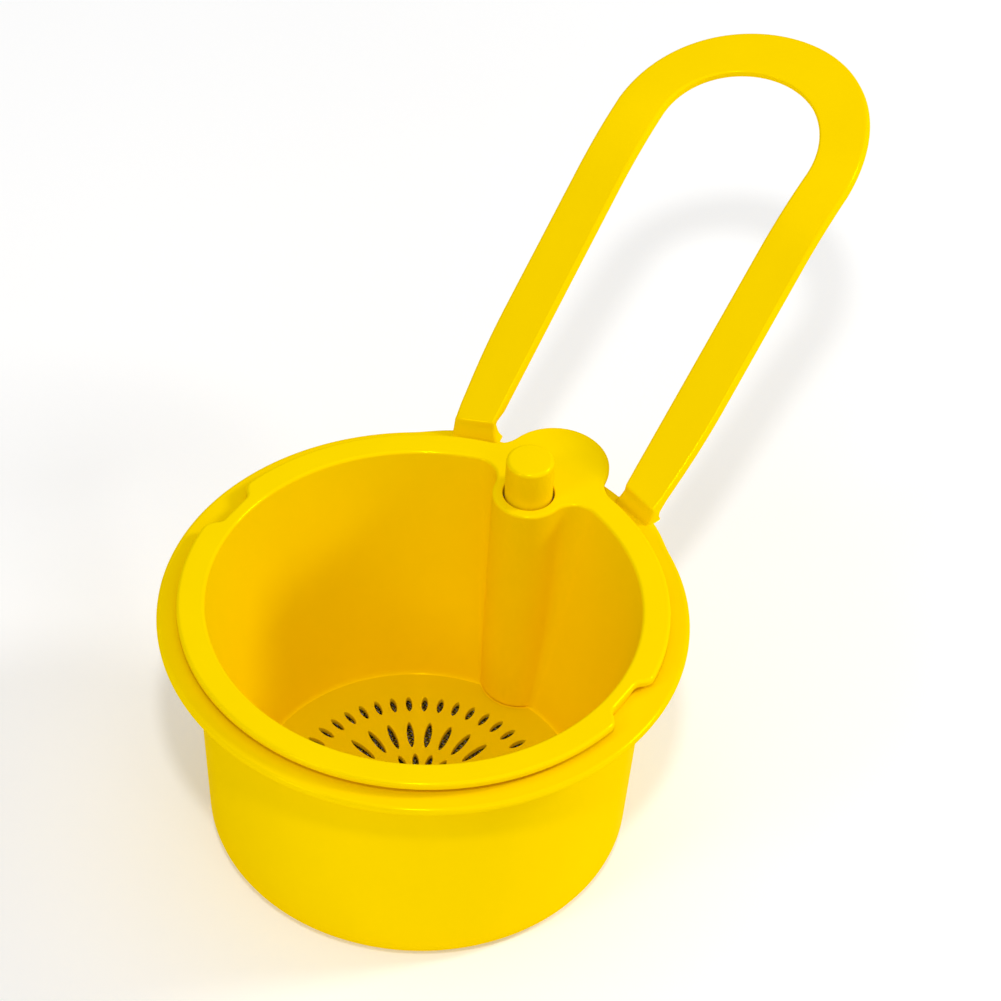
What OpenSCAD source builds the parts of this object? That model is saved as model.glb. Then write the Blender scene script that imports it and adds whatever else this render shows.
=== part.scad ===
// Double sieve strainer: a cup with a loop handle, a lift-out sieve basket standing in it, and a
// push button in a column that opens a drain valve in the cup floor.
// Millimetres. Z is up, the cup stands on z = 0, and the handle rises towards +Y.

/* [Cup] */
// Height of the cup, to the top of its flange
cup_h = 68.5; // [66:0.5:69]
// Outside radius of the flange
flange_r = 65; // [63:0.5:68]
// Flange thickness
flange_t = 2.4; // [2:0.1:3]
// Outside radius of the wall where the bottom rounding ends
cup_bottom_r = 52.2; // [51.6:0.1:52.6]
// Outside radius of the wall at the flange
cup_top_r = 56.0; // [55.8:0.1:57]
// Wall thickness
cup_wall = 1.55; // [1.3:0.05:1.65]
// Floor thickness
cup_floor = 1.8; // [1.4:0.1:1.9]
// Outside radius between floor and wall
cup_corner_r = 6; // [4:0.5:8]

/* [Sieve basket] */
// Height of the basket rim's top
rim_z = 72.2; // [71.8:0.1:73]
// Outside radius of the rim
rim_r = 60.1; // [59:0.1:61]
// Thickness of the rim at its edge
rim_t = 2.1; // [1.6:0.1:2.4]
// Inside radius at the rim
basket_top_r = 53.3; // [52.5:0.1:53.4]
// Inside radius at the sieve plate
basket_bottom_r = 41.6; // [41:0.1:42]
// Wall thickness
basket_wall = 1.45; // [1.2:0.05:1.5]
// Height of the sieve plate's top
plate_z = 4.6; // [4.5:0.1:5]
// Sieve plate thickness
plate_t = 1.5; // [1.2:0.1:1.6]
// Radius of the ear at the back of the rim
ear_r = 13.5; // [12.5:0.5:14]
// Depth of the two finger notches
notch_depth = 3.4; // [2:0.1:3.6]

/* [Column and button] */
// Distance of the column from the middle
column_y = 47.3; // [46.8:0.1:47.5]
// Column radius at the top
column_top_r = 9.1; // [8.8:0.1:9.3]
// Column radius at the bottom
column_bottom_r = 9.9; // [9.6:0.1:10]
// Radius of the button head
button_r = 6.0; // [5.6:0.1:6.05]
// How far the button stands above the rim
button_proud = 11.2; // [9:0.1:12]
// Button travel
press = 5; // [4:0.5:5]

/* [Handle] */
// Slope of the loop above level
handle_slope = 33; // [31:0.5:35]
// Strap thickness
strap_t = 3.2; // [2.8:0.1:3.6]
// Outside half width of the loop at the feet
loop_out_foot = 29.2; // [28.8:0.1:30]
// Outside half width of the loop past the flare of the feet
loop_out_leg = 32.0; // [31:0.1:32.5]
// Inside half width of the loop at the feet
loop_in_foot = 19.2; // [18.8:0.1:19.6]
// Outside half width of the loop end
loop_out_r = 33.4; // [33:0.1:35]
// How far the outside of the loop end reaches past its centre
loop_out_rise = 38.4; // [34:0.1:40]
// Inside radius of the loop end
loop_in_r = 21.4; // [20.5:0.1:22]
// Distance from the feet to the centre of the loop end's outside
loop_len = 89; // [80:1:92]
// Distance from the feet to where the loop starts to bend down
bend_start = 68; // [60:1:72]
// Radius of that bend, at the upper face
bend_r = 100; // [90:5:200]

/* [Hidden] */
$fn = 72;
cup_colour = [0.98, 0.80, 0.02];
basket_colour = [1.0, 0.84, 0.04];
steel_colour = [0.75, 0.76, 0.78];
rubber_colour = [0.25, 0.25, 0.26];

pocket_in_r = 10.7;                 // the cup wall bulges round the column here
pocket_out_r = 12.3;
flange_edge_r = flange_t / 2 - 0.1;
seat_r = 56.3;                      // step under the rim, which rests on the flange
seat_z = cup_h + 0.1;
ear_y = rim_r - 0.3;
notch_y = 1.2;                      // the notches sit a little behind the middle
ear_fillet_r = 7;
column_base_z = plate_z - plate_t;

button_top_z = rim_z + button_proud;
bore_r = 6.5;                       // guides the button's collar
collar_r = 6.44;
collar_z0 = 60;
collar_z1 = 67.1;
bezel_z = 67.2;                     // ring that keeps the collar in
bezel_t = 1.6;
shelf_z = 36;                       // web across the column, under the spring
shelf_t = 4;
lower_bore_r = 7.5;
rod_r = 2;
rod_guide_r = 2.06;

valve_seat_z = 3.4;                 // underside of the valve seat
boss_r = 7;
boss_z = 5.4;
drain_r = 3.4;
cage_r = 6.6;
cage_z = 13;
stem_r = 1.5;
stem_guide_r = 1.56;
valve_spring_z1 = cage_z + 2 * press;
stem_top_z = valve_spring_z1 + 2;
rod_tip_z = stem_top_z + 0.2;

foot_y = 61.5;                      // the loop's upper face passes through this line
foot_z = cup_h + 6;
foot_in = [loop_in_foot - 0.4, 61.3];
foot_out = [loop_out_foot + 0.3, 58.7];
foot_t = 2.6;
foot_lean = 1.7;                    // the front of a foot leans towards the cup below this height
foot_lean_h = 4;
flare_len = 18;                     // the legs widen over this distance from the feet

slot_rings = [                      // number of slots, inner radius, outer radius, width
    [48, 28.2, 33.2, 1.6],
    [28, 15.6, 24.4, 1.75],
    [20, 7.6, 13.4, 1.6],
];
mesh_r = 35.4;
mesh_t = 0.35;
mesh_top_z = column_base_z - 0.02;

// Points of an arc about (x, y), for rounded corners of a turned outline
function arc(x, y, r, a0, a1, n = 6) =
    [for (i = [0:n]) [x + r * cos(a0 + (a1 - a0) * i / n), y + r * sin(a0 + (a1 - a0) * i / n)]];

// A turned ring of rectangular section
module ring(r_in, r_out, z0, z1) {
    translate([0, 0, z0]) difference() {
        cylinder(h = z1 - z0, r = r_out);
        translate([0, 0, -1]) cylinder(h = z1 - z0 + 2, r = r_in);
    }
}

// Puts its children on the column's axis
module at_column() {
    translate([0, column_y, 0]) children();
}

// A coil drawn as stacked rings joined by a seam, so it stays exact
module coil(r, wire, z0, z1, turns) {
    gap = (z1 - z0 - wire) / turns;
    for (i = [0:turns])
        translate([0, 0, z0 + wire / 2 + i * gap]) rotate_extrude() translate([r, 0]) circle(d = wire);
    for (i = [0:turns - 1])
        rotate([0, 0, i * 180]) translate([r, 0, z0 + wire / 2 + i * gap])
            cylinder(h = gap, d = wire * 0.7);
}

// ---- cup ----

cup_in_r = cup_top_r - cup_wall;
inner_corner = cup_corner_r - cup_wall;

// Outside of the cup, as a solid
module cup_outline() {
    polygon(concat(
        [[0, 0]],
        arc(cup_bottom_r - cup_corner_r, cup_corner_r, cup_corner_r, -90, 0),
        [[cup_top_r, cup_h - flange_t - 1]],
        arc(cup_top_r + 1, cup_h - flange_t - 1, 1, 180, 90, 3),
        arc(flange_r - flange_edge_r, cup_h - flange_t + flange_edge_r, flange_edge_r, -90, 0, 4),
        arc(flange_r - flange_edge_r, cup_h - flange_edge_r, flange_edge_r, 0, 90, 4),
        [[0, cup_h]]
    ));
}

// Hollow of the cup
module cup_hollow() {
    polygon(concat(
        [[0, cup_floor]],
        arc(cup_bottom_r - cup_corner_r, cup_floor + inner_corner, inner_corner, -90, 0),
        [[cup_in_r, cup_h], [cup_in_r, cup_h + 1], [0, cup_h + 1]]
    ));
}

// Puts its children in the frame of the +X foot: x along its front face, y outwards
foot_skew = atan2(foot_in[1] - foot_out[1], foot_out[0] - foot_in[0]);
foot_w = norm(foot_out - foot_in);

module at_foot() {
    translate([foot_in[0], foot_in[1], 0]) rotate([0, 0, -foot_skew]) children();
}

// Pad under a foot, on the flange's edge
module foot_pad() {
    at_foot() translate([-0.6, -5, cup_h - flange_t]) cube([foot_w + 1.2, foot_t + 5.6, flange_t]);
}

module outer_cup() {
    color(cup_colour) difference() {
        union() {
            rotate_extrude($fn = 144) cup_outline();
            at_column() {
                translate([0, 0, 1.5]) cylinder(h = cup_h - flange_t - 1, r = pocket_out_r);
                cylinder(h = 1.5, r1 = pocket_out_r - 1.5, r2 = pocket_out_r);
            }
            for (side = [0, 1])
                mirror([side, 0, 0]) foot_pad();
        }
        rotate_extrude($fn = 144) cup_hollow();
        // pocket for the column
        at_column() translate([0, 0, cup_floor]) cylinder(h = cup_h, r = pocket_in_r);
        at_column() translate([0, 0, -1]) cylinder(h = cup_floor + 2, r = boss_r - 1.4);
    }
    color(cup_colour) at_column() {
        ring(boss_r - 1.4, boss_r, 0, boss_z);
        ring(drain_r, boss_r, valve_seat_z, boss_z);
    }
}

// ---- handle ----

// Outside and inside of the loop, seen square to its slope
module loop_plan() {
    in_centre = loop_len + 2.6;
    difference() {
        polygon(concat(
            [[loop_out_foot, -8], [loop_out_leg, flare_len]],
            [for (a = [0:5:180]) [loop_out_r * cos(a), loop_len + loop_out_rise * sin(a)]],
            [[-loop_out_leg, flare_len], [-loop_out_foot, -8]]
        ));
        polygon([[-loop_in_foot, -9], [loop_in_foot, -9],
                 [loop_in_r, in_centre], [-loop_in_r, in_centre]]);
        translate([0, in_centre]) circle(r = loop_in_r, $fn = 144);
    }
}

// The strap seen from the side: straight, then bending down; x up the slope, y above the upper face
module strap_side() {
    translate([-14, -strap_t]) square([bend_start + 14, strap_t]);
    intersection() {
        translate([bend_start, -bend_r]) difference() {
            circle(r = bend_r, $fn = 180);
            circle(r = bend_r - strap_t, $fn = 180);
        }
        translate([bend_start, -60]) square([70, 61]);
    }
}

// Frame of the loop's upper face: x across, y up the slope
module on_slope() {
    translate([0, foot_y, foot_z]) rotate([handle_slope, 0, 0]) children();
}

// One foot, up to the loop's upper face
module foot() {
    difference() {
        translate([0, 0, cup_h]) at_foot() rotate([90, 0, 90]) linear_extrude(foot_w)
            polygon([[-foot_lean, 0], [foot_t, 0], [foot_t, 12], [0, 12], [0, foot_lean_h]]);
        on_slope() translate([0, -20, 0]) cube([60, 60, 40]);
    }
}

module handle_loop() {
    color(cup_colour) {
        difference() {
            on_slope() intersection() {
                translate([0, 0, -60]) linear_extrude(61) loop_plan();
                translate([-40, 0, 0]) rotate([90, 0, 90]) linear_extrude(80) strap_side();
            }
            for (side = [0, 1])
                mirror([side, 0, 0]) at_foot()
                    translate([-20, foot_t / 2 - 30, cup_h - 20]) cube([60, 30, 60]);
        }
        for (side = [0, 1])
            mirror([side, 0, 0]) foot();
    }
}

// ---- valve in the cup floor ----

module valve_cage() {
    color(cup_colour) at_column() difference() {
        union() {
            translate([0, 0, boss_z]) cylinder(h = cage_z - boss_z, r = cage_r);
            translate([0, 0, cage_z - 1]) cylinder(h = 3, r = 3);
        }
        translate([0, 0, boss_z - 1]) cylinder(h = cage_z - boss_z - 0.8, r = cage_r - 1.3);
        translate([0, 0, boss_z]) cylinder(h = 20, r = stem_guide_r);
        for (a = [0:60:120])
            rotate([0, 0, a]) translate([-1.6, -20, boss_z + 1.6]) cube([3.2, 40, 3.6]);
    }
}

module cage_lock_ring() {
    color(cup_colour) at_column() ring(cage_r - 2.6, cage_r - 1.35, boss_z, boss_z + 1.2);
}

module valve_poppet() {
    color(cup_colour) at_column() {
        translate([0, 0, 1]) cylinder(h = 1.5, r = 4.9);
        translate([0, 0, 1]) cylinder(h = stem_top_z - 2, r = stem_r);
    }
}

module valve_seal() {
    color(rubber_colour) at_column() ring(stem_r, 4.6, 2.5, valve_seat_z - 0.05);
}

module valve_cap() {
    color(steel_colour) at_column() difference() {
        translate([0, 0, valve_spring_z1]) cylinder(h = stem_top_z - valve_spring_z1, r = 3.6);
        translate([0, 0, valve_spring_z1 - 1]) cylinder(h = stem_top_z - valve_spring_z1, r = stem_r);
    }
}

module valve_spring() {
    color(steel_colour) at_column() coil(3.7, 0.6, cage_z + 0.02, valve_spring_z1 - 0.02, 6);
}

// ---- basket ----

module basket_outline() {
    slope = (basket_top_r - basket_bottom_r) / (rim_z - plate_z);
    polygon([
        [basket_bottom_r, plate_z],
        [basket_top_r - slope * 0.8, rim_z - 0.8],
        [basket_top_r + 0.6, rim_z],
        [seat_r, rim_z],
        [seat_r, seat_z],
        [basket_top_r + basket_wall - slope * (rim_z - seat_z), seat_z],
        [basket_bottom_r + basket_wall, plate_z],
    ]);
}

// Plan of the rim: a ring with an ear at the back and a notch on each side
module rim_plan() {
    // centre of the fillet between ear and rim, and where it touches each of them
    fy = (pow(rim_r + ear_fillet_r, 2) - pow(ear_r + ear_fillet_r, 2) + pow(ear_y, 2)) / (2 * ear_y);
    fx = sqrt(pow(rim_r + ear_fillet_r, 2) - pow(fy, 2));
    on_rim = [fx, fy] * rim_r / (rim_r + ear_fillet_r);
    on_ear = [0, ear_y] + [fx, fy - ear_y] * ear_r / (ear_r + ear_fillet_r);
    difference() {
        union() {
            circle(r = rim_r, $fn = 144);
            translate([0, ear_y]) circle(r = ear_r);
            for (s = [-1, 1])
                polygon([[0, column_y], [s * on_rim[0], on_rim[1]], [s * fx, fy],
                         [s * on_ear[0], on_ear[1]], [0, ear_y]]);
        }
        for (s = [-1, 1]) {
            // a hair wider than the fillet, so that it crosses both arcs
            translate([s * fx, fy]) circle(r = ear_fillet_r + 0.02);
            translate([s * rim_r, notch_y])
                polygon([[-s * notch_depth, -5.5], [s, -9.8], [s, 9.8], [-s * notch_depth, 5.5]]);
        }
        circle(r = basket_top_r + basket_wall, $fn = 144);
    }
}

module strainer_basket() {
    color(basket_colour) difference() {
        union() {
            rotate_extrude($fn = 144) basket_outline();
            translate([0, 0, rim_z - rim_t]) linear_extrude(rim_t) rim_plan();
            at_column() translate([0, 0, column_base_z])
                cylinder(h = rim_z - column_base_z, r1 = column_bottom_r, r2 = column_top_r);
        }
        at_column() {
            translate([0, 0, shelf_z + shelf_t]) cylinder(h = 60, r = bore_r);
            translate([0, 0, bezel_z]) cylinder(h = bezel_t, r = bore_r + 0.7);
            translate([0, 0, -1]) cylinder(h = shelf_z + 1, r = lower_bore_r);
            cylinder(h = 60, r = rod_guide_r);
        }
    }
}

// One slot along +X, between radii a and b
module slot(a, b, w) {
    translate([a + w / 2, 0]) circle(d = w, $fn = 24);
    translate([b - w / 2, 0]) circle(d = w, $fn = 24);
    translate([a + w / 2, -w / 2]) square([b - a - w, w]);
}

module sieve_plate() {
    color(basket_colour) translate([0, 0, column_base_z]) linear_extrude(plate_t) difference() {
        circle(r = basket_bottom_r + basket_wall - 0.2, $fn = 144);
        translate([0, column_y]) circle(r = column_bottom_r + 0.02);
        for (ring = slot_rings)
            for (i = [0:ring[0] - 1])
                rotate(90 + i * 360 / ring[0]) slot(ring[1], ring[2], ring[3]);
    }
}

module fine_mesh() {
    color(steel_colour) translate([0, 0, mesh_top_z - mesh_t]) cylinder(h = mesh_t, r = mesh_r);
}

module mesh_ring() {
    color(steel_colour) {
        ring(mesh_r + 0.05, mesh_r + 1.6, mesh_top_z - 0.8, mesh_top_z);
        ring(mesh_r - 1.2, mesh_r + 1.6, mesh_top_z - 0.8, mesh_top_z - mesh_t - 0.03);
    }
}

module button_bezel() {
    color(steel_colour) at_column()
        ring(button_r + 0.15, bore_r + 0.68, bezel_z + 0.02, bezel_z + bezel_t - 0.02);
}

module spring_washer() {
    color(steel_colour) at_column()
        ring(rod_guide_r + 0.2, bore_r - 0.2, shelf_z + shelf_t, shelf_z + shelf_t + 0.6);
}

// ---- button and rod ----

module push_button() {
    color(basket_colour) at_column() difference() {
        rotate_extrude() polygon(concat(
            [[0, collar_z0], [collar_r, collar_z0], [collar_r, collar_z1], [button_r, collar_z1]],
            arc(button_r - 1.2, button_top_z - 1.2, 1.2, 0, 90, 4),
            [[0, button_top_z]]
        ));
        translate([0, 0, collar_z0 - 1]) cylinder(h = 13, r = rod_r);
    }
}

module push_rod() {
    color(steel_colour) at_column() translate([0, 0, rod_tip_z + 1.5])
        cylinder(h = collar_z0 + 12 - rod_tip_z - 1.5, r = rod_r);
}

module rod_foot() {
    color(rubber_colour) at_column() difference() {
        translate([0, 0, rod_tip_z]) cylinder(h = 5, r = 3.6);
        translate([0, 0, rod_tip_z + 1.5]) cylinder(h = 5, r = rod_r);
    }
}

module button_spring() {
    color(steel_colour) at_column()
        coil(4.6, 0.9, shelf_z + shelf_t + 0.62, collar_z0 - 0.02, 7);
}

outer_cup();
handle_loop();
valve_cage();
cage_lock_ring();
valve_poppet();
valve_seal();
valve_cap();
valve_spring();
strainer_basket();
sieve_plate();
fine_mesh();
mesh_ring();
button_bezel();
spring_washer();
push_button();
push_rod();
rod_foot();
button_spring();
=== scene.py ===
"""Double sieve strainer: a yellow cup with a loop handle, a lift-out sieve basket and a push button.

The frame is in metres with Z up; sizes here are in millimetres unless they say otherwise.
"""

import math

import bmesh
import bpy
import numpy as np
from mathutils import Matrix, Vector
from mathutils.geometry import delaunay_2d_cdt


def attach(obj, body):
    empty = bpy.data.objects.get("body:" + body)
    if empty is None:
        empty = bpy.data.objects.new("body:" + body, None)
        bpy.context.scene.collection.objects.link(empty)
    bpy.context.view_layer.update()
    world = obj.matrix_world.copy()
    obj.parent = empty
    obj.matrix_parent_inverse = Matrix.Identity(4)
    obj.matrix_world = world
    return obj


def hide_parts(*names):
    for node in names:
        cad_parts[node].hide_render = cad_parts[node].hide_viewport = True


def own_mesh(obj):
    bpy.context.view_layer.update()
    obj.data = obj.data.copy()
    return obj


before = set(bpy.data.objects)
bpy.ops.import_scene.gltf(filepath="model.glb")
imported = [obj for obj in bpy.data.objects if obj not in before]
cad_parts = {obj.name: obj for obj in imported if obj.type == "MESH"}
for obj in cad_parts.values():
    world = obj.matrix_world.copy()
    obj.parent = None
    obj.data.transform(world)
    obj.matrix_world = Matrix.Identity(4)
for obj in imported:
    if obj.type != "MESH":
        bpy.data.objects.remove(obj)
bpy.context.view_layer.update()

MM = 0.001

# ---- sizes, in millimetres, as in the frame ----

CUP_H = 68.5
FLANGE_R = 65.0
FLANGE_T = 2.4
CUP_BOTTOM_R = 52.2
CUP_TOP_R = 56.0
CUP_WALL = 1.55
CUP_FLOOR = 1.8
CUP_CORNER = 6.0
POCKET_IN_R = 10.7
POCKET_OUT_R = 12.3

RIM_Z = 72.2
RIM_T = 2.1
RIM_R = 60.1
SEAT_R = 56.3
SEAT_Z = 68.6
BASKET_TOP_R = 53.3
BASKET_BOTTOM_R = 41.6
BASKET_WALL = 1.45
PLATE_Z = 4.6
PLATE_BOTTOM = 3.1
EAR_Y = 59.8
EAR_R = 13.5
EAR_FILLET = 7.0
NOTCH = 3.4
NOTCH_Y = 1.2

COLUMN_Y = 47.3
COLUMN_TOP_R = 9.1
COLUMN_BOTTOM_R = 9.9
BLEND_LOW = 1.8  # the fillet between column and wall at the plate, and how much wider it is at the rim
BLEND_RISE = 4.4
BORE_R = 6.5
BUTTON_R = 6.0
BUTTON_TOP = 83.4

SLOPE = math.radians(33.0)
FOOT_Y = 61.5
FOOT_Z = 74.5
STRAP_T = 3.2
FOOT_T = 2.6
FOOT_IN = np.array([18.8, 61.3])  # ends of a foot's front face, on the flange
FOOT_OUT = np.array([29.5, 58.7])
FOOT_ALONG = (FOOT_OUT - FOOT_IN) / np.linalg.norm(FOOT_OUT - FOOT_IN)
FOOT_OUTWARD = np.array([-FOOT_ALONG[1], FOOT_ALONG[0]])
FOOT_LEAN = 1.7
FOOT_LEAN_H = 4.0
FLARE_LEN = 18.0
LOOP_LEN = 89.0
LOOP_IN_LEN = 91.6
LOOP_OUT = (29.2, 32.0, 33.4)  # outside half width at the feet, past the flare and at the end
LOOP_IN = (19.2, 21.4)
LOOP_OUT_RISE = 38.4
BEND_START = 68.0
BEND_R = 100.0

# each ring of slots: how many, where they start and end, and how wide they are
SLOT_RINGS = ((48, 28.2, 33.2, 1.6), (28, 15.6, 24.4, 1.75), (20, 7.6, 13.4, 1.6))

# ---- outlines ----


def circle_points(x, y, r, a0, a1, n, end=True):
    """Points on an arc about (x, y), from angle a0 to a1 in radians."""
    t = np.linspace(a0, a1, n + 1)
    if not end:
        t = t[:-1]
    return np.stack([x + r * np.cos(t), y + r * np.sin(t)], 1)


def full_circle(x, y, r, n):
    return circle_points(x, y, r, 0.0, 2 * math.pi, n, end=False)


def at_height(outline, z):
    """A flat outline lifted to height z, one height for all or one for each point."""
    z = np.broadcast_to(np.asarray(z, float), (len(outline),))
    return np.column_stack([outline, z])


def inset(outline, distance):
    """The outline moved inwards along its own normals; it runs anticlockwise."""
    along = np.roll(outline, -1, 0) - np.roll(outline, 1, 0)
    along /= np.linalg.norm(along, axis=1)[:, None]
    return outline + np.column_stack([-along[:, 1], along[:, 0]]) * distance


def inside(points, outline):
    """Even-odd test of points against a closed outline."""
    x, y = points[:, 0][:, None], points[:, 1][:, None]
    x0, y0 = outline[:, 0], outline[:, 1]
    x1, y1 = np.roll(x0, -1), np.roll(y0, -1)
    crosses = (y0 > y) != (y1 > y)
    step = np.where(y1 == y0, 1e-12, y1 - y0)
    return (crosses & (x < (x1 - x0) * (y - y0) / step + x0)).sum(1) % 2 == 1


def smooth_max(a, b, k):
    """The larger of a and b, with a blend about k wide where they cross."""
    h = np.clip(0.5 + 0.5 * (a - b) / k, 0, 1)
    return b + (a - b) * h + k * h * (1 - h)


def smoothstep(a, b, x):
    t = np.clip((x - a) / (b - a), 0, 1)
    return t * t * (3 - 2 * t)


def quarter(r, n=4):
    """Steps of a quarter round of radius r: pairs of (distance in, distance up), from (0, 0) to (r, r)."""
    t = np.linspace(0, math.pi / 2, n + 1)
    return [(r * (1 - math.cos(a)), r * math.sin(a)) for a in t]


def rounded_profile(corners, n=4):
    """A turned profile. Each corner is (r, z) or (r, z, rounding)."""
    made = []
    for i, c in enumerate(corners):
        p = np.array(c[:2], float)
        if len(c) == 2 or i in (0, len(corners) - 1):
            made.append(p)
            continue
        a = np.array(corners[i - 1][:2], float) - p
        b = np.array(corners[i + 1][:2], float) - p
        a /= np.linalg.norm(a)
        b /= np.linalg.norm(b)
        half = math.acos(np.clip(a @ b, -1, 1)) / 2
        reach = c[2] / math.tan(half)
        centre = p + (a + b) / np.linalg.norm(a + b) * c[2] / math.sin(half)
        start, end = p + a * reach - centre, p + b * reach - centre
        turn = math.pi - 2 * half
        for k in range(n + 1):
            t = k / n
            v = (math.sin((1 - t) * turn) * start + math.sin(t * turn) * end) / math.sin(turn)
            made.append(centre + v)
    return made


# ---- meshes ----


class Skin:
    """Gathers lofted and flat surfaces, in millimetres, and makes one mesh of them."""

    def __init__(self):
        self.points = []
        self.faces = []

    def add(self, points):
        first = len(self.points)
        self.points.extend(map(tuple, points))
        return first

    def loft(self, loops, closed=True):
        """Quads between loops of the same number of points."""
        starts = [self.add(loop) for loop in loops]
        n = len(loops[0])
        last = n if closed else n - 1
        for a, b in zip(starts, starts[1:]):
            for i in range(last):
                j = (i + 1) % n
                self.faces.append((a + i, a + j, b + j, b + i))

    def flat(self, z, outer, holes=()):
        """A flat face at height z inside one outline and outside the others."""
        loops = [outer, *holes]
        points = np.vstack(loops)
        edges, first = [], 0
        for loop in loops:
            edges += [(first + i, first + (i + 1) % len(loop)) for i in range(len(loop))]
            first += len(loop)
        made = delaunay_2d_cdt([Vector(p) for p in points], edges, [], 0, 1e-7)
        flat = np.array([tuple(p) for p in made[0]])
        triangles = np.array([tuple(f) for f in made[2]])
        middle = flat[triangles].mean(1)
        keep = inside(middle, outer)
        for hole in holes:
            keep &= ~inside(middle, hole)
        start = self.add(np.column_stack([flat, np.full(len(flat), z)]))
        self.faces += [tuple(int(i) + start for i in t) for t in triangles[keep]]

    def cap(self, loop):
        start = self.add(loop)
        self.faces.append(tuple(range(start, start + len(loop))))

    def turned(self, profile, y=0.0, n=96):
        """A surface turned about the vertical line through (0, y). Points at r = 0 close to one point."""
        loops = []
        for r, z in profile:
            loops.append(at_height(full_circle(0, y, max(r, 1e-4), n), z))
        self.loft(loops)

    def make(self, name, sharp=38.0):
        mesh = bpy.data.meshes.new(name)
        mesh.from_pydata([tuple(c * MM for c in p) for p in self.points], [], self.faces)
        bm = bmesh.new()
        bm.from_mesh(mesh)
        bmesh.ops.remove_doubles(bm, verts=bm.verts, dist=2e-6)
        bmesh.ops.dissolve_degenerate(bm, edges=bm.edges, dist=1e-7)
        bmesh.ops.recalc_face_normals(bm, faces=bm.faces)
        bm.to_mesh(mesh)
        bm.free()
        mesh.polygons.foreach_set("use_smooth", [True] * len(mesh.polygons))
        mesh.set_sharp_from_angle(angle=math.radians(sharp))
        made = bpy.data.objects.new(name, mesh)
        bpy.context.scene.collection.objects.link(made)
        weighted = made.modifiers.new("even_shading", "WEIGHTED_NORMAL")
        weighted.keep_sharp = True
        weighted.weight = 80
        return made


def piece(made, body, slot, material, *nodes):
    """Gives a finished piece its body, its finish and the frame nodes it stands for."""
    made.data.materials.append(material)
    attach(made, body)
    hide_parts(*nodes)
    return made


# ---- materials ----


def node_material(name):
    m = bpy.data.materials.new(name)
    m.use_nodes = True
    return m, m.node_tree.nodes, m.node_tree.links, m.node_tree.nodes["Principled BSDF"]


def noise(nodes, links, coords, scale, detail=3.0, roughness=0.5, stretch=None):
    """A noise pattern in object space; stretch is a scale for each axis."""
    pattern = nodes.new("ShaderNodeTexNoise")
    pattern.inputs["Scale"].default_value = scale
    pattern.inputs["Detail"].default_value = detail
    pattern.inputs["Roughness"].default_value = roughness
    source = coords.outputs["Object"]
    if stretch:
        mapping = nodes.new("ShaderNodeMapping")
        mapping.inputs["Scale"].default_value = stretch
        links.new(source, mapping.inputs["Vector"])
        source = mapping.outputs["Vector"]
    links.new(source, pattern.inputs["Vector"])
    return pattern.outputs["Fac"]


def ramp(nodes, links, value, stops):
    """A colour ramp; each stop is (position, grey or colour)."""
    made = nodes.new("ShaderNodeValToRGB")
    elements = made.color_ramp.elements
    while len(elements) < len(stops):
        elements.new(0.5)
    for element, (place, colour) in zip(elements, stops):
        element.position = place
        element.color = (colour, colour, colour, 1) if np.isscalar(colour) else (*colour, 1)
    links.new(value, made.inputs["Fac"])
    return made.outputs["Color"]


def combine(nodes, links, a, b, factor=None, blend="MIX"):
    """Mixes two colours; factor is a number or a socket."""
    mix = nodes.new("ShaderNodeMix")
    mix.data_type = "RGBA"
    mix.blend_type = blend
    if isinstance(factor, (int, float)):
        mix.inputs[0].default_value = factor
    else:
        links.new(factor, mix.inputs[0])
    links.new(a, mix.inputs[6])
    links.new(b, mix.inputs[7])
    return mix.outputs[2]


def bump(nodes, links, height, strength, distance, below=None):
    made = nodes.new("ShaderNodeBump")
    made.inputs["Strength"].default_value = strength
    made.inputs["Distance"].default_value = distance
    links.new(height, made.inputs["Height"])
    if below:
        links.new(below, made.inputs["Normal"])
    return made.outputs["Normal"]


def moulded_plastic(name, light, deep, roughness=(0.13, 0.24)):
    """Glossy moulded plastic: slow shade changes, faint flow marks, orange peel and fine scratches."""
    m, nodes, links, shader = node_material(name)
    coords = nodes.new("ShaderNodeTexCoord")
    slow = noise(nodes, links, coords, 22.0, 2.0)
    flow = noise(nodes, links, coords, 60.0, 4.0, 0.6, (1.0, 1.0, 0.25))
    shade = ramp(nodes, links, slow, ((0.32, deep), (0.68, light)))
    marks = ramp(nodes, links, flow, ((0.40, tuple(0.965 * c for c in light)), (0.62, light)))
    links.new(combine(nodes, links, shade, marks, 0.35), shader.inputs["Base Color"])

    scratches = noise(nodes, links, coords, 900.0, 2.0, 0.5, (1.0, 0.04, 1.0))
    crossing = noise(nodes, links, coords, 900.0, 2.0, 0.5, (0.05, 1.0, 0.6))
    worn = combine(nodes, links, scratches, crossing, 0.5)
    patchy = noise(nodes, links, coords, 45.0, 3.0)
    gloss = combine(nodes, links, worn, patchy, 0.6)
    links.new(
        ramp(nodes, links, gloss, ((0.35, roughness[0]), (0.70, roughness[1]))),
        shader.inputs["Roughness"],
    )
    peel = noise(nodes, links, coords, 260.0, 2.0)
    lower = bump(nodes, links, peel, 0.15, 0.00002)
    links.new(bump(nodes, links, worn, 0.05, 0.00001, lower), shader.inputs["Normal"])
    shader.inputs["Metallic"].default_value = 0.06
    shader.inputs["Specular IOR Level"].default_value = 0.0
    shader.inputs["Specular Tint"].default_value = (1.0, 0.85, 0.1, 1)
    return m


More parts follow.
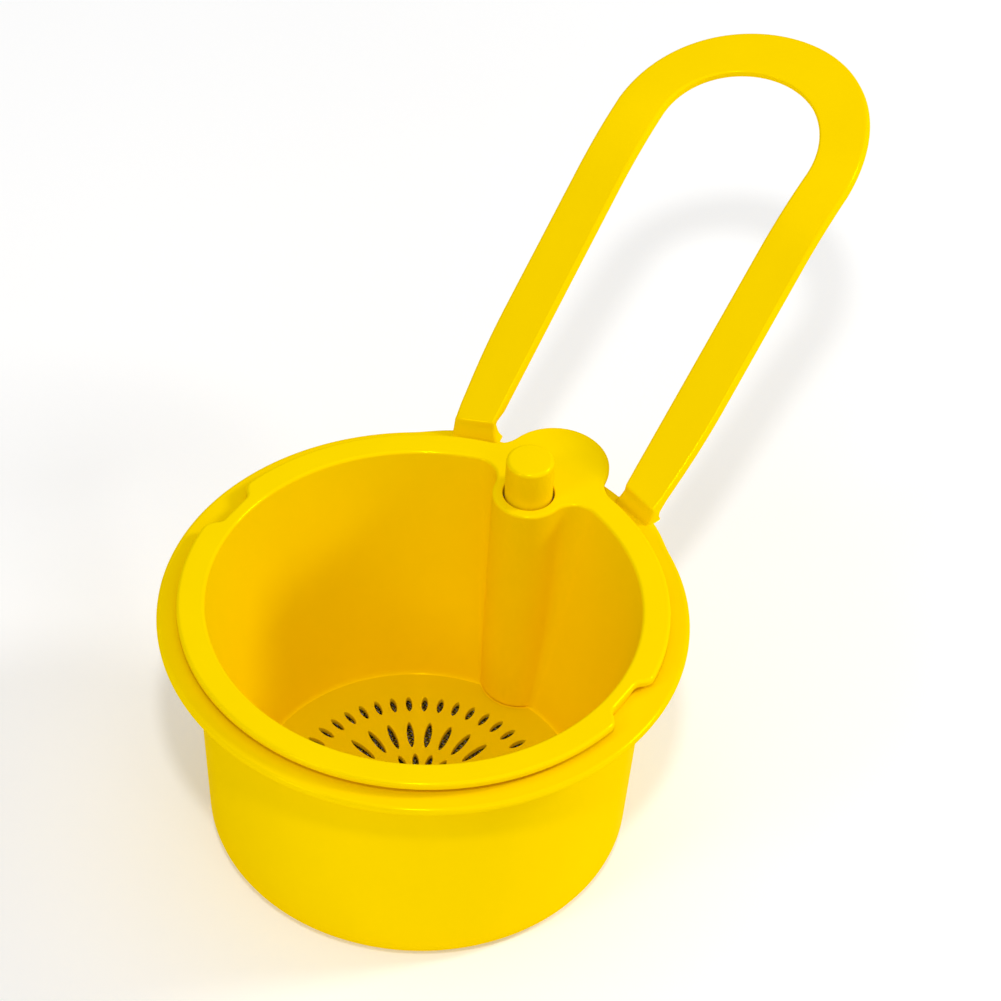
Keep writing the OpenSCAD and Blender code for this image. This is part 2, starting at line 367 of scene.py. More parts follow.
def drawn_steel(name, grain=(1.0, 1.0, 0.03), tone=(0.62, 0.63, 0.65), roughness=(0.18, 0.38)):
    """Stainless steel with drawing or turning marks along the short axis of grain."""
    m, nodes, links, shader = node_material(name)
    coords = nodes.new("ShaderNodeTexCoord")
    lines = noise(nodes, links, coords, 1500.0, 3.0, 0.6, grain)
    cloud = noise(nodes, links, coords, 120.0, 2.0)
    dark = tuple(0.72 * c for c in tone)
    links.new(ramp(nodes, links, lines, ((0.3, dark), (0.7, tone))), shader.inputs["Base Color"])
    gloss = combine(nodes, links, lines, cloud, 0.4)
    links.new(
        ramp(nodes, links, gloss, ((0.3, roughness[0]), (0.7, roughness[1]))),
        shader.inputs["Roughness"],
    )
    links.new(bump(nodes, links, lines, 0.3, 0.00002), shader.inputs["Normal"])
    shader.inputs["Metallic"].default_value = 1.0
    return m


def moulded_rubber(name, tone=(0.035, 0.035, 0.037)):
    """Dark elastomer with a fine stippled skin and faint bloom."""
    m, nodes, links, shader = node_material(name)
    coords = nodes.new("ShaderNodeTexCoord")
    bloom = noise(nodes, links, coords, 180.0, 4.0)
    stipple = noise(nodes, links, coords, 2600.0, 1.0)
    grey = tuple(1.8 * c for c in tone)
    links.new(ramp(nodes, links, bloom, ((0.35, tone), (0.75, grey))), shader.inputs["Base Color"])
    links.new(ramp(nodes, links, bloom, ((0.3, 0.55), (0.7, 0.75))), shader.inputs["Roughness"])
    links.new(bump(nodes, links, stipple, 0.4, 0.00003), shader.inputs["Normal"])
    return m


CUP_YELLOW = moulded_plastic("cup_yellow_plastic", (0.980, 0.680, 0.000), (0.965, 0.660, 0.000))
BASKET_YELLOW = moulded_plastic("basket_yellow_plastic", (0.985, 0.700, 0.000), (0.975, 0.680, 0.000))
# painted shade: the plate is the basket's own yellow plastic, made darker to stand in for the shade at the
# bottom of the basket
SHADED_PLATE_YELLOW = moulded_plastic("plate_yellow_painted_shade", (0.830, 0.600, 0.000), (0.810, 0.580, 0.000))
VALVE_YELLOW = moulded_plastic(
    "valve_yellow_plastic", (0.96, 0.66, 0.002), (0.90, 0.60, 0.002), roughness=(0.3, 0.45)
)
STEEL = drawn_steel("drawn_steel")
TURNED_STEEL = drawn_steel("turned_steel", (0.05, 0.05, 1.0))
WIRE_STEEL = drawn_steel("wire_steel", (1.0, 1.0, 1.0), (0.70, 0.70, 0.71), (0.15, 0.3))
# painted shade: the stainless wire cloth gets a dark tone to stand in for the shade seen through the slots
SHADED_CLOTH_STEEL = drawn_steel("cloth_steel_painted_shade", (1.0, 1.0, 1.0), (0.20, 0.17, 0.15), (0.25, 0.4))
RUBBER = moulded_rubber("seal_rubber")

# ---- cup ----


def ray_to_circle(angle, y, r):
    """Distance from the middle to the far side of a circle centred at (0, y), at an angle from +Y.

    It is 0 where the ray misses the circle.
    """
    under = r * r - (y * np.sin(angle)) ** 2
    hit = y * np.cos(angle) + np.sqrt(np.maximum(under, 0))
    return np.where((under > 0) & (np.cos(angle) > 0), hit, 0.0)


PAD_GROW = 0.05
PAD_TAIL = 1.4  # how far the flange still stands out beside a foot, before it eases back to its circle
PAD_ANGLES = np.radians([17.4, 25.3, 0.9])  # where the pads start and end from +Y, and how softly


def cup_angles():
    """Directions of the cup's stations, anticlockwise, closer together round the pocket and the feet."""
    fine = np.radians(np.arange(-34, 34.01, 0.4))
    coarse = np.radians(np.arange(35.2, 325.5, 1.2))
    return np.concatenate([fine, coarse])


def cup_outline(angles, r, pocket_r=0.0, pads=0.0):
    """One level of the cup: a circle with the pocket's bulge and the pads under the feet."""
    reach = np.full(len(angles), float(r))
    if pocket_r:
        reach = smooth_max(reach, ray_to_circle(angles, COLUMN_Y, pocket_r), 0.9)
    if pads:
        side = np.abs(np.arctan2(np.sin(angles), np.cos(angles)))
        outward = FOOT_OUTWARD[0] * np.sin(side) + FOOT_OUTWARD[1] * np.cos(side)
        line = (FOOT_OUTWARD @ FOOT_IN + FOOT_T + pads) / outward - (FLANGE_R - r)
        low, high, soft = PAD_ANGLES
        start = smoothstep(low - soft, low + soft, side)
        pad = start * (1 - smoothstep(high - soft, high + soft, side)) * np.maximum(line - reach, 0)
        tail = PAD_TAIL * start * (1 - smoothstep(high, high + np.radians(11), side))
        reach = reach + np.maximum(pad, tail)
    return np.column_stack([-reach * np.sin(angles), reach * np.cos(angles)])


def make_cup():
    skin = Skin()
    angles = cup_angles()

    def level(r, z, pocket_r=0.0, pads=0.0):
        return at_height(cup_outline(angles, r, pocket_r, pads), z)

    # outside, from the edge of the underside up to the flange
    outside = []
    for a in np.linspace(0, math.pi / 2, 9):
        rise = CUP_CORNER * (1 - math.cos(a))
        run = CUP_CORNER * (1 - math.sin(a))
        outside.append(level(CUP_BOTTOM_R - run, rise, POCKET_OUT_R - 2.2 * (1 - math.sin(a))))
    wall_top = CUP_H - FLANGE_T - 1.2
    for t in np.linspace(0, 1, 14)[1:]:
        r = CUP_BOTTOM_R + (CUP_TOP_R - CUP_BOTTOM_R) * t
        outside.append(level(r, CUP_CORNER + (wall_top - CUP_CORNER) * t, POCKET_OUT_R))
    for back, up in quarter(1.2)[1:]:
        outside.append(level(CUP_TOP_R + back, wall_top + up, POCKET_OUT_R + back))
    under = CUP_H - FLANGE_T
    outside.append(level(FLANGE_R - 3.2, under, 0, 0))
    edge = 1.1
    for back, up in quarter(edge, 5):
        outside.append(level(FLANGE_R - edge + up, under + back, 0, PAD_GROW))
    for back, up in quarter(edge, 6):
        outside.append(level(FLANGE_R - back, CUP_H - edge + up, 0, PAD_GROW))
    outside.append(level(FLANGE_R - 3.2, CUP_H, 0, 0))
    lip = 0.5
    outside.append(level(CUP_TOP_R - CUP_WALL + lip, CUP_H, POCKET_IN_R + lip))
    for back, up in quarter(lip)[1:]:
        outside.append(level(CUP_TOP_R - CUP_WALL + lip - up, CUP_H - back, POCKET_IN_R + lip - up))
    # inside, down to the floor
    inner = CUP_CORNER - CUP_WALL
    floor_edge = CUP_BOTTOM_R - CUP_CORNER
    low_r, low_z = floor_edge + inner, CUP_FLOOR + inner
    for t in np.linspace(0, 1, 14)[1:]:
        r = CUP_TOP_R - CUP_WALL + (low_r - CUP_TOP_R + CUP_WALL) * t
        outside.append(level(r, CUP_H - lip + (low_z - CUP_H + lip) * t, POCKET_IN_R))
    for a in np.linspace(math.pi / 2, 0, 8)[1:]:
        run = inner * (1 - math.sin(a))
        pocket_r = POCKET_IN_R - 1.2 * (1 - math.sin(a))
        outside.append(level(low_r - run, low_z - inner * math.cos(a), pocket_r))
    skin.loft(outside)

    # floor with the valve boss, and the recessed drain seen from below
    boss = full_circle(0, COLUMN_Y, 7.6, 72)
    drain = full_circle(0, COLUMN_Y, 6.0, 72)
    skin.flat(CUP_FLOOR, cup_outline(angles, floor_edge, POCKET_IN_R - 1.2), [boss])
    skin.flat(0.0, cup_outline(angles, floor_edge, POCKET_OUT_R - 2.2), [drain])
    skin.turned(
        rounded_profile(
            [(7.6, CUP_FLOOR), (7.0, CUP_FLOOR, 0.5), (7.0, 5.4, 0.3), (3.4, 5.4, 0.3), (3.4, 3.4, 0.15),
             (5.6, 3.4, 0.2), (5.6, 0.0, 0.38), (6.0, 0.0)]
        ),
        COLUMN_Y, 72,
    )
    return skin.make("cup_shell")


piece(make_cup(), "cup", "cup_plastic", CUP_YELLOW, "outer_cup")

# ---- handle ----


def on_strap(u, v, depth):
    """A point of the strap: u across, v up the slope, depth from 0 at its upper face to 1 at its lower."""
    past = max(v - BEND_START, 0.0)
    upper = math.sqrt(BEND_R**2 - past**2) - BEND_R
    lower = math.sqrt((BEND_R - STRAP_T) ** 2 - past**2) - BEND_R
    w = upper + (lower - upper) * depth
    c, s = math.cos(SLOPE), math.sin(SLOPE)
    return np.array([u, FOOT_Y + v * c - w * s, FOOT_Z + v * s + w * c])


def section_places(width, depth, corner=0.75, across=4):
    """Places round a strap's section, as shares of its width and its depth, with rounded corners."""
    places = []
    for x, y, start in ((0, 0, 270), (0, 1, 180), (1, 1, 90), (1, 0, 0)):
        cx = corner if x == 0 else width - corner
        cy = corner if y == 0 else depth - corner
        for a in np.radians(np.linspace(start, start - 90, 6)):
            places.append((cx + corner * math.cos(a), cy + corner * math.sin(a)))
        if (x, y) == (0, 1):
            places += [(cx + (width - 2 * corner) * k / across, depth) for k in range(1, across)]
        if (x, y) == (1, 0):
            places += [(cx - (width - 2 * corner) * k / across, 0.0) for k in range(1, across)]
    return [(x / width, y / depth) for x, y in places]


def strap_section(inner, outer):
    """Section of the strap from (u, v) at its inner edge to (u, v) at its outer edge."""
    width = math.dist(inner, outer)
    return np.array([
        on_strap(inner[0] + (outer[0] - inner[0]) * x, inner[1] + (outer[1] - inner[1]) * x, y)
        for x, y in section_places(width, STRAP_T)
    ])


def block_section(corners, spread=0.0):
    """Section between four corners: front inner, front outer, back outer and back inner."""
    a, b, c, d = corners
    width, depth = np.linalg.norm(b - a), np.linalg.norm(d - a)
    made = []
    for x, y in section_places(width, depth):
        x += spread / width * (2 * x - 1)
        y += spread / depth * (2 * y - 1)
        made.append((a + (b - a) * x) * (1 - y) + (d + (c - d) * x) * y)
    return np.array(made)


def out_width(v):
    """Half width of the loop's outside at v up the slope, with the flare of the legs eased."""
    stations = v + np.linspace(-9, 9, 7)
    return float(np.interp(stations, [-8, FLARE_LEN, LOOP_LEN], LOOP_OUT).mean())


def in_width(v):
    return float(np.interp(v, [-9, LOOP_IN_LEN], LOOP_IN))


def foot_corners(t):
    """Corners of a foot's section for the +X side; t runs from 0 on the flange to 1 at the crease."""
    plan = (FOOT_IN, FOOT_OUT, FOOT_OUT + FOOT_OUTWARD * FOOT_T, FOOT_IN + FOOT_OUTWARD * FOOT_T)
    made = []
    for i, place in enumerate(plan):
        top = FOOT_Z + (place[1] - FOOT_Y) * math.tan(SLOPE)
        if i >= 2:
            top -= STRAP_T / math.cos(SLOPE)
        z = CUP_H + (top - CUP_H) * t
        place = place.copy()
        if i < 2:
            place -= FOOT_OUTWARD * FOOT_LEAN * max(0.0, 1 - (z - CUP_H) / FOOT_LEAN_H)
        if i in (0, 3):
            # the inner side flares towards the flange
            place += FOOT_ALONG * (0.6 - 1.6 * (1 - t) ** 1.5)
        made.append(np.array([*place, z]))
    return made


def leg_stations():
    """Sections from the foot on the flange, round the crease and up one leg, for the +X side."""
    made = []
    for rise, spread in ((-0.30, 0.0), (0.0, 0.22), (0.06, 0.14), (0.16, 0.06), (0.30, 0.0)):
        corners = foot_corners(0.0)
        for corner in corners:
            corner[2] += rise
        made.append(block_section(corners, spread))
    for t in (0.3, 0.45, 0.6, 0.72):
        made.append(block_section(foot_corners(t)))
    # the crease: each corner's path bends from the foot to the strap
    reach = 0.6
    crease = foot_corners(1.0)
    lower = foot_corners(0.9)
    v_in = (FOOT_IN[1] - FOOT_Y) / math.cos(SLOPE)
    v_out = (FOOT_OUT[1] - FOOT_Y) / math.cos(SLOPE)
    along = np.array([0, math.cos(SLOPE), math.sin(SLOPE)])
    for t in np.linspace(0, 1, 8):
        corners = []
        for low, bend in zip(lower, crease):
            high = bend + along * reach
            corners.append(low * (1 - t) ** 2 + bend * 2 * t * (1 - t) + high * t * t)
        made.append(block_section(corners))
    # the leg, whose sections start square to the foot and turn square to the leg
    straight = np.linspace(4.0, BEND_START, 20)
    bent = np.linspace(BEND_START + 2, LOOP_IN_LEN, 10)
    stations = np.concatenate([straight, bent])
    for i, v in enumerate(stations):
        skew = (v_out - v_in) * max(0.0, 1 - i / 5) - (LOOP_IN_LEN - LOOP_LEN) * v / LOOP_IN_LEN
        made.append(strap_section((in_width(v), v), (out_width(v + skew), v + skew)))
    return made


def make_handle():
    legs = leg_stations()
    turn = []
    for a in np.linspace(0, math.pi, 81)[1:-1]:
        c, s = math.cos(a), math.sin(a)
        inner = (LOOP_IN[1] * c, LOOP_IN_LEN + LOOP_IN[1] * s)
        outer = (LOOP_OUT[2] * c, LOOP_LEN + LOOP_OUT_RISE * s)
        turn.append(strap_section(inner, outer))
    mirrored = [section * np.array([-1, 1, 1]) for section in reversed(legs)]
    skin = Skin()
    skin.loft(legs + turn + mirrored)
    skin.cap(legs[0])
    skin.cap(mirrored[-1])
    return skin.make("loop_handle", sharp=50)


piece(make_handle(), "cup", "cup_plastic", CUP_YELLOW, "handle_loop")

# ---- basket ----


def rim_outline():
    """Plan of the rim, anticlockwise from the front: a circle with two notches and the ear at the back."""
    reach = RIM_R + EAR_FILLET
    fy = (reach**2 - (EAR_R + EAR_FILLET) ** 2 + EAR_Y**2) / (2 * EAR_Y)
    fx = math.sqrt(reach**2 - fy**2)
    rim_end = math.atan2(fy, fx)
    ear_start = math.atan2(fy - EAR_Y, fx)
    right = circle_points(0, 0, RIM_R, -math.pi / 2, rim_end, 300)
    from_notch = np.abs(right[:, 1] - NOTCH_Y)
    notch = RIM_R - NOTCH + smooth_max(from_notch - 5.5, 0, 0.9)
    beside = np.abs(right[:, 1]) < 20
    right[beside, 0] = -smooth_max(-notch, -right[:, 0], 1.8)[beside]
    fillet = circle_points(fx, fy, EAR_FILLET, rim_end - math.pi, ear_start - math.pi, 16)
    ear = circle_points(0, EAR_Y, EAR_R, ear_start, math.pi / 2, 30)
    half = np.vstack([right, fillet[1:], ear[1:]])
    other = half[1:-1][::-1] * np.array([-1, 1])
    return np.vstack([half, other])


def wall_outline(wall_r, column_r, fillet, outside=False):
    """Plan of the wall joined to the column by a fillet, anticlockwise from the front.

    Inside, it passes in front of the column; outside, behind it.
    """
    sign = 1 if outside else -1
    reach = wall_r + sign * fillet
    fy = (reach**2 - (column_r + fillet) ** 2 + COLUMN_Y**2) / (2 * COLUMN_Y)
    fx = math.sqrt(reach**2 - fy**2)
    on_wall = math.atan2(fy, fx)
    on_column = math.atan2(fy - COLUMN_Y, fx)
    wall = circle_points(0, 0, wall_r, -math.pi / 2, on_wall, 130)
    if outside:
        bend = circle_points(fx, fy, fillet, on_wall - math.pi, on_column - math.pi, 10)
        column = circle_points(0, COLUMN_Y, column_r, on_column, math.pi / 2, 24)
    else:
        bend = circle_points(fx, fy, fillet, on_wall, math.pi + on_column, 10)
        column = circle_points(0, COLUMN_Y, column_r, on_column, -math.pi / 2, 40)
    half = np.vstack([wall, bend[1:], column[1:]])
    other = half[1:-1][::-1] * np.array([-1, 1])
    return np.vstack([half, other])


def make_basket():
    skin = Skin()
    rim = rim_outline()
    slope = (BASKET_TOP_R - BASKET_BOTTOM_R) / (RIM_Z - PLATE_Z)
    taper = (COLUMN_TOP_R - COLUMN_BOTTOM_R) / (RIM_Z - PLATE_BOTTOM)

    def wall_r(z):
        return BASKET_BOTTOM_R + slope * (z - PLATE_Z)

    def column_r(z):
        return COLUMN_BOTTOM_R + taper * (z - PLATE_BOTTOM)

    def blend_r(z):
        """The fillet between column and wall widens towards the mouth."""
        return BLEND_LOW + BLEND_RISE * (z / RIM_Z) ** 1.6

    # inside of the wall and front of the column, which rounds in at its lower end, up to the mouth
    inner = []
    foot = 1.3
    for a in np.linspace(0, math.pi / 2, 8):
        z, back = PLATE_Z + foot * (1 - math.cos(a)), 1 - math.sin(a)
        outline = wall_outline(wall_r(z) - 0.5 * back, column_r(z) - 1.1 * back, blend_r(z))
        inner.append(at_height(outline, z))
    lip = 0.9
    for z in np.linspace(PLATE_Z + foot, RIM_Z - lip, 18)[1:]:
        inner.append(at_height(wall_outline(wall_r(z), column_r(z), blend_r(z)), z))
    mouth = wall_r(RIM_Z - lip), column_r(RIM_Z - lip), blend_r(RIM_Z - lip)
    for back, up in quarter(lip, 6)[1:]:
        outline = wall_outline(mouth[0] + back, mouth[1] - back, mouth[2] + back)
        inner.append(at_height(outline, RIM_Z - lip + up))
    skin.loft(inner)

    # rim edge
    under, low_edge, edge = RIM_Z - RIM_T, 0.5, 0.9
    rim_edge = [at_height(inset(rim, low_edge - up), under + back) for back, up in quarter(low_edge, 4)]
    for back, up in quarter(edge, 6):
        rim_edge.append(at_height(inset(rim, back), RIM_Z - edge + up))
    skin.loft(rim_edge)

    # top face with the button's hole
    hole_edge = 0.35
    hole = full_circle(0, COLUMN_Y, BORE_R + hole_edge, 96)
    skin.flat(RIM_Z, inset(rim, edge), [inner[-1][:, :2], hole])

    # underside of the rim, the step that rests on the flange, and the outside of wall and column
    def step(r, z):
        return at_height(wall_outline(r, column_r(SEAT_Z) + 0.4, 3.0, True), z)

    outer = [step(SEAT_R, under), step(SEAT_R, SEAT_Z + 0.3), step(SEAT_R - 0.1, SEAT_Z + 0.1)]
    outer.append(step(SEAT_R - 0.3, SEAT_Z))
    skin.flat(under, inset(rim, low_edge), [outer[0][:, :2]])
    turn = 0.5
    for back, up in quarter(turn, 3)[::-1]:
        z = SEAT_Z - turn + up
        outline = wall_outline(wall_r(z) + BASKET_WALL + back, column_r(z) + back * 0.5, 2.0, True)
        outer.append(at_height(outline, z))
    for z in np.linspace(SEAT_Z - turn, PLATE_BOTTOM + 1.0, 16)[1:]:
        outer.append(at_height(wall_outline(wall_r(z) + BASKET_WALL, column_r(z), 2.0, True), z))
    end_r = wall_r(PLATE_BOTTOM + 1.0) + BASKET_WALL, column_r(PLATE_BOTTOM + 1.0)
    for back, up in quarter(1.0, 4)[1:]:
        outline = wall_outline(end_r[0] - back, end_r[1] - back * 0.5, 2.0, True)
        outer.append(at_height(outline, PLATE_BOTTOM + 1.0 - up))
    skin.loft(outer)
    plate_seat = wall_outline(40.6, 9.95, blend_r(PLATE_Z))
    skin.flat(PLATE_BOTTOM, outer[-1][:, :2], [plate_seat, full_circle(0, COLUMN_Y, 7.9, 72)])
    skin.loft([at_height(plate_seat, PLATE_BOTTOM), at_height(plate_seat, PLATE_Z - 0.02), inner[0]])

    # bores of the column
    skin.turned(
        rounded_profile([(BORE_R + hole_edge, RIM_Z), (BORE_R, RIM_Z, hole_edge * 0.98), (BORE_R, 68.9),
                         (BORE_R + 0.7, 68.8), (BORE_R + 0.7, 67.2), (BORE_R, 67.1), (BORE_R, 40.0, 0.5),
                         (2.1, 40.0)]),
        COLUMN_Y, 96,
    )
    skin.turned(
        rounded_profile([(2.1, 40.0), (2.1, 36.0, 0.3), (7.5, 36.0, 0.8), (7.5, PLATE_BOTTOM, 0.39),
                         (7.9, PLATE_BOTTOM)]),
        COLUMN_Y, 72,
    )
    return skin.make("sieve_basket")


piece(make_basket(), "basket", "basket_plastic", BASKET_YELLOW, "strainer_basket")


def slot_outline(angle, r0, r1, width, grow=0.0):
    """A slot along a radius that narrows to both its rounded ends, anticlockwise."""
    t = np.linspace(0, 2 * math.pi, 24, endpoint=False)
    length = (r1 - r0) / 2 + grow
    half = width / 2 + grow
    x = (r0 + r1) / 2 + length * np.cos(t)
    y = half * np.sign(np.sin(t)) * np.abs(np.sin(t)) ** 1.25
    c, s = math.cos(angle), math.sin(angle)
    return np.column_stack([x, y]) @ np.array([[c, s], [-s, c]])


def make_plate():
    """The slotted plate: every slot has a softened upper edge."""
    skin = Skin()
    slots = []
    for count, r0, r1, width in SLOT_RINGS:
        for i in range(count):
            slots.append((math.pi / 2 + 2 * math.pi * i / count, r0, r1, width))
    edge = wall_outline(BASKET_BOTTOM_R - 0.1, COLUMN_BOTTOM_R + 0.1, BLEND_LOW)
    low = wall_outline(BASKET_BOTTOM_R - 0.9, COLUMN_BOTTOM_R + 0.06, BLEND_LOW)
    underside = PLATE_BOTTOM + 0.01
    ease = 0.22
    skin.flat(PLATE_Z, edge, [slot_outline(*s, grow=ease) for s in slots])
    skin.flat(underside, low, [slot_outline(*s, grow=0.1) for s in slots])
    skin.loft([at_height(edge, PLATE_Z), at_height(low, PLATE_Z - 0.3), at_height(low, underside)])
    for s in slots:
        walls = []
        for back, up in quarter(ease, 3):
            walls.append(at_height(slot_outline(*s, grow=ease - up), PLATE_Z - back))
        walls.append(at_height(slot_outline(*s, grow=0.0), underside + 0.1))
        walls.append(at_height(slot_outline(*s, grow=0.1), underside))
        skin.loft(walls)
    return skin.make("slotted_plate")


piece(make_plate(), "basket", "basket_plastic", SHADED_PLATE_YELLOW, "sieve_plate")

# ---- wires and springs ----


def tube(skin, path, radius, sides=8, ends=True):
    """A round wire along a path of points."""
    path = np.asarray(path, float)
    along = np.gradient(path, axis=0)
    along /= np.linalg.norm(along, axis=1)[:, None]
    helper = np.where(np.abs(along[:, 2:3]) < 0.9, [[0.0, 0.0, 1.0]], [[1.0, 0.0, 0.0]])
    sideways = np.cross(along, helper)
    sideways /= np.linalg.norm(sideways, axis=1)[:, None]
    over = np.cross(sideways, along)
    turn = np.linspace(0, 2 * math.pi, sides, endpoint=False)
    loops = [
        p + radius * (np.cos(turn)[:, None] * s + np.sin(turn)[:, None] * o)
        for p, s, o in zip(path, sideways, over)
    ]
    skin.loft(loops)
    if ends:
        skin.cap(loops[0])
        skin.cap(loops[-1])


def make_mesh():
    """Woven wire cloth under the plate: each wire passes over and under the ones it crosses."""
    skin = Skin()
    pitch, wire, reach, middle = 1.0, 0.19, 35.3, 2.70
    rows = int(reach / pitch)
    for direction in (0, 1):
        for row in range(-rows, rows + 1):
            offset = row * pitch
            half = math.sqrt(max(reach**2 - offset**2, 0.0))
            if half < 2:
                continue
            count = int(2 * half / (pitch / 2))
            along = np.linspace(-half, half, count + 1)
            phase = math.pi * (row + direction)
            height = middle + (wire + 0.005) * np.cos(math.pi * along / pitch + phase)
            across = np.full(len(along), offset)
            columns = [along, across, height] if direction == 0 else [across, along, height]
            tube(skin, np.column_stack(columns), wire, sides=5, ends=False)
    return skin.make("woven_wire_cloth", sharp=80)


piece(make_mesh(), "basket", "mesh_steel", SHADED_CLOTH_STEEL, "fine_mesh")


def make_spring(name, radius, wire, z0, z1, turns):
    """A compression spring with closed ends, wound about the column's axis."""
    t = np.linspace(0, turns, int(turns * 28) + 1)
    closed = 0.9
    climb = z1 - z0 - wire
    rise = np.interp(
        t, [0, closed, turns - closed, turns], [0, wire * 1.02, climb - wire * 1.02, climb]
    )
    x = radius * np.cos(2 * math.pi * t)
    y = COLUMN_Y + radius * np.sin(2 * math.pi * t)
    skin = Skin()
    tube(skin, np.column_stack([x, y, z0 + wire / 2 + rise]), wire / 2, sides=12)
    return skin.make(name, sharp=60)


button_spring = make_spring("helical_button_spring", 4.6, 0.9, 40.62, 59.98, 8)
piece(button_spring, "plunger", "spring_steel", WIRE_STEEL, "button_spring")
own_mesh(button_spring)

valve_spring = make_spring("helical_valve_spring", 3.7, 0.6, 13.02, 22.98, 6)
piece(valve_spring, "valve", "spring_steel", WIRE_STEEL, "valve_spring")
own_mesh(valve_spring)

# ---- turned parts on the column's axis ----


def turned_piece(name, corners, body, slot, material, node, y=COLUMN_Y, n=72, sharp=50):
    skin = Skin()
    skin.turned(rounded_profile(corners), y, n)
    return piece(skin.make(name, sharp), body, slot, material, node)


turned_piece(
    "push_button_head",
    [(0, BUTTON_TOP), (BUTTON_R, BUTTON_TOP, 1.1), (BUTTON_R, 67.1), (6.44, 67.1, 0.15), (6.44, 60.0, 0.25),
     (2.0, 60.0, 0.2), (2.0, 72.0), (0, 72.0)],
    "plunger", "basket_plastic", BASKET_YELLOW, "push_button", n=96,
)
turned_piece(
    "steel_push_rod",
    [(0, 71.9), (2.0, 71.9, 0.3), (2.0, 26.75, 0.3), (0, 26.75)],
    "plunger", "steel", STEEL, "push_rod", n=48,
)
turned_piece(
    "rubber_rod_foot",
    [(0, 25.2), (3.6, 25.2, 0.5), (3.6, 30.2, 0.5), (2.02, 30.2, 0.15), (2.02, 26.7), (0, 26.7)],
    "plunger", "seal_rubber", RUBBER, "rod_foot", n=48,
)
turned_piece(
    "retaining_bezel",
    [(6.15, 67.25), (6.15, 68.75, 0.2), (7.15, 68.75, 0.15), (7.15, 67.25, 0.15), (6.15, 67.25)],
    "basket", "steel", TURNED_STEEL, "button_bezel", n=96,
)
turned_piece(
    "seat_washer",
    [(2.3, 40.02), (2.3, 40.58, 0.12), (6.25, 40.58, 0.12), (6.25, 40.02, 0.12), (2.3, 40.02)],
    "basket", "steel", TURNED_STEEL, "spring_washer", n=72,
)
turned_piece(
    "mesh_clamp_ring",
    [(34.2, 2.30), (34.2, 2.55, 0.1), (35.45, 2.55, 0.05), (35.45, 3.07, 0.1), (37.0, 3.07, 0.15),
     (37.0, 2.30, 0.25), (34.2, 2.30)],
    "basket", "steel", TURNED_STEEL, "mesh_ring", y=0.0, n=144,
)
turned_piece(
    "valve_plunger",
    [(0, 1.0), (4.9, 1.0, 0.4), (4.9, 2.5, 0.2), (1.5, 2.5, 0.1), (1.5, 24.0, 0.3), (0, 24.0)],
    "valve", "cup_plastic", VALVE_YELLOW, "valve_poppet", n=72,
)
turned_piece(
    "valve_seal_ring",
    [(1.52, 2.52), (4.6, 2.52, 0.2), (4.6, 3.35, 0.3), (1.52, 3.35, 0.1), (1.52, 2.52)],
    "valve", "seal_rubber", RUBBER, "valve_seal", n=72,
)
turned_piece(
    "valve_spring_cap",
    [(0, 25.0), (3.6, 25.0, 0.35), (3.6, 23.0, 0.15), (1.52, 23.0), (1.52, 24.0), (0, 24.0)],
    "valve", "steel", TURNED_STEEL, "valve_cap", n=60,
)
turned_piece(
    "cage_snap_ring",
    [(4.0, 5.42), (4.0, 6.58, 0.2), (5.24, 6.58, 0.2), (5.24, 5.42, 0.2), (4.0, 5.42)],
    "cup", "cup_plastic", VALVE_YELLOW, "cage_lock_ring", n=60,
)

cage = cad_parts["valve_cage"]
cage.data.materials.clear()
cage.data.materials.append(VALVE_YELLOW)

# ---- floor, light and camera ----


def pale_floor():
    """A plain white light table: it glows a little, and has a very faint paper-like variation."""
    m, nodes, links, shader = node_material("pale_floor")
    coords = nodes.new("ShaderNodeTexCoord")
    cloud = noise(nodes, links, coords, 3.0, 3.0)
    shade = ramp(nodes, links, cloud, ((0.3, 0.85), (0.7, 0.87)))
    links.new(shade, shader.inputs["Base Color"])
    shader.inputs["Roughness"].default_value = 0.7
    shader.inputs["Specular IOR Level"].default_value = 0.1
    shader.inputs["Emission Color"].default_value = (1.0, 1.0, 1.0, 1)
    shader.inputs["Emission Strength"].default_value = 0.17
    mesh = bpy.data.meshes.new("floor")
    half = 6.0
    corners = [(-half, -half, 0), (half, -half, 0), (half, half, 0), (-half, half, 0)]
    mesh.from_pydata(corners, [], [(0, 1, 2, 3)])
    made = bpy.data.objects.new("floor", mesh)
    mesh.materials.append(m)
    bpy.context.scene.collection.objects.link(made)


def area_light(name, place, aim, size, power, colour=(1, 1, 1)):
    data = bpy.data.lights.new(name, "AREA")
    data.shape = "DISK"
    data.size = size
    data.energy = power
    data.color = colour
    made = bpy.data.objects.new(name, data)
    made.location = place
    made.rotation_mode = "QUATERNION"
    made.rotation_quaternion = (Vector(aim) - Vector(place)).to_track_quat("-Z", "Y")
    bpy.context.scene.collection.objects.link(made)


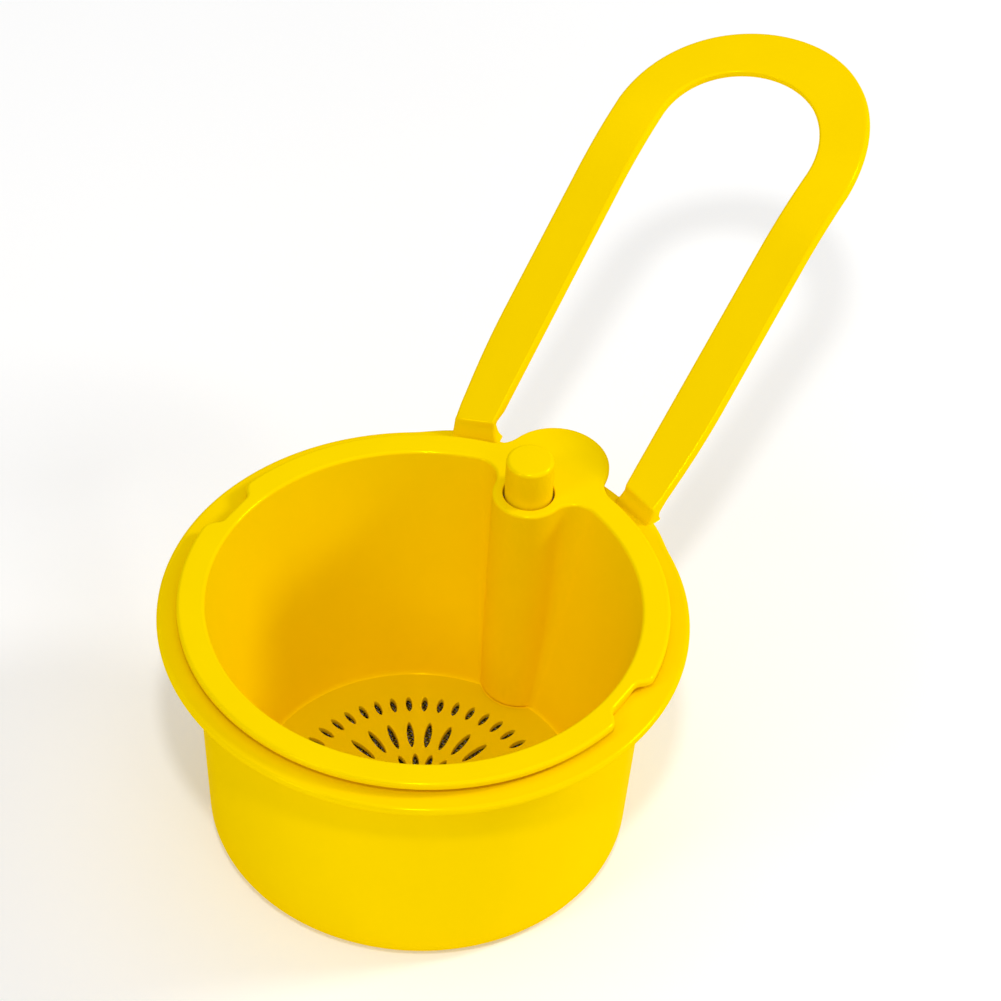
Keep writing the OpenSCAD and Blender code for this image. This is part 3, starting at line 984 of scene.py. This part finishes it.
CAMERA_AZIMUTH = math.radians(32.0)
CAMERA_ELEVATION = math.radians(45.6)
CAMERA_ROLL = math.radians(1.95)
CAMERA_DISTANCE = 1.285  # metres, as everything in this part of the script
CAMERA_TARGET = Vector((0, 0, 0.060))
CAMERA_AIM = (0.0139, 0.0267)  # how far right of and above the target the camera looks, as tangents
CAMERA_LENS = 188.8


def make_camera():
    a, e = CAMERA_AZIMUTH, CAMERA_ELEVATION
    back = Vector((math.sin(a) * math.cos(e), -math.cos(a) * math.cos(e), math.sin(e)))
    forward = -back
    right = forward.cross(Vector((0, 0, 1))).normalized()
    up = right.cross(forward)
    forward = (forward + right * CAMERA_AIM[0] + up * CAMERA_AIM[1]).normalized()
    right = forward.cross(up).normalized()
    up = right.cross(forward)
    c, s = math.cos(CAMERA_ROLL), math.sin(CAMERA_ROLL)
    right, up = right * c + up * s, up * c - right * s
    data = bpy.data.cameras.new("camera")
    data.sensor_width = 36.0
    data.lens = CAMERA_LENS
    data.clip_start = 0.05
    data.clip_end = 50.0
    made = bpy.data.objects.new("camera", data)
    turn = Matrix((right, up, -forward)).transposed().to_4x4()
    made.matrix_world = Matrix.Translation(CAMERA_TARGET + back * CAMERA_DISTANCE) @ turn
    bpy.context.scene.collection.objects.link(made)
    bpy.context.scene.camera = made


def make_world():
    world = bpy.data.worlds.new("studio")
    world.use_nodes = True
    background = world.node_tree.nodes["Background"]
    background.inputs["Color"].default_value = (1.0, 1.0, 1.0, 1)
    background.inputs["Strength"].default_value = 0.42
    bpy.context.scene.world = world


bpy.context.scene.view_settings.view_transform = "Standard"
pale_floor()
make_world()
area_light("key", (1.05, 0.95, 1.05), (0, 0, 0.05), 0.42, 11.5)
area_light("top", (-0.1, 0.2, 1.6), (0, 0, 0.05), 1.1, 2)
area_light("front_left", (-0.45, -1.45, 1.15), (0, 0, 0.05), 0.5, 4.5)
area_light("front_right", (1.30, -0.75, 1.15), (0, 0, 0.05), 0.8, 2)
area_light("high_front", (0.51, -0.82, 1.80), (0, 0, 0.05), 0.14, 10)
make_camera()
